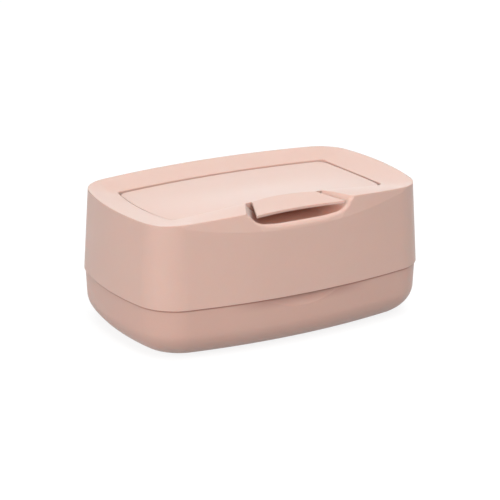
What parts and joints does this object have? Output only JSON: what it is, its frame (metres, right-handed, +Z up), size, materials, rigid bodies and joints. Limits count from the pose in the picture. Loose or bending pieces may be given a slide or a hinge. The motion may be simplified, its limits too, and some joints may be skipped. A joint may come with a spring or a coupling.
{
  "type": "baby wipes box",
  "caption": "Baby wipes box with a bowl-bottomed tray, a lift-off cover and a hinged flap lid with a dished thumb tab over a finger scoop.",
  "frame": {"origin": "middle of the box, on the plane that its four feet stand on", "axes": "+X along the length to the right seen from the front, +Y to the back where the flap is hinged, +Z up"},
  "size_m": [0.24, 0.1554, 0.1042],
  "materials": {
    "cover_plastic": "matt moulded, dusty pink",
    "lid_plastic": "matt moulded, dusty pink",
    "tray_plastic": "matt moulded, dusty pink",
    "plate_plastic": "matt moulded, pale pink",
    "soft_silicone": "soft, slightly satin",
    "foot_rubber": "soft, matt",
    "pin_steel": "plain drawn wire"
  },
  "bodies": {
    "base": {"base_tray": "tray_plastic", "cover_gasket": "soft_silicone", "foot_front_left": "foot_rubber", "foot_front_right": "foot_rubber", "foot_rear_left": "foot_rubber", "foot_rear_right": "foot_rubber"},
    "cover": {"upper_cover": "cover_plastic", "dispensing_grommet": "soft_silicone", "hinge_pin_left": "pin_steel", "hinge_pin_right": "pin_steel"},
    "flap": {"flap_lid": "lid_plastic", "flap_seal": "soft_silicone"},
    "plate": {"weight_plate": "plate_plastic"}
  },
  "joints": [
    {"name": "cover_lift", "type": "slide", "parent": "base", "child": "cover", "axis": [0, 0, 1], "range_m": [0, 0.11]},
    {"name": "flap_hinge", "type": "hinge", "parent": "cover", "child": "flap", "pos_m": [0, 0.038, 0.092], "axis": [-1, 0, 0], "range_deg": [0, 95]},
    {"name": "plate_slide", "type": "slide", "parent": "base", "child": "plate", "axis": [0, 0, 1], "range_m": [0, 0.06]}
  ]
}
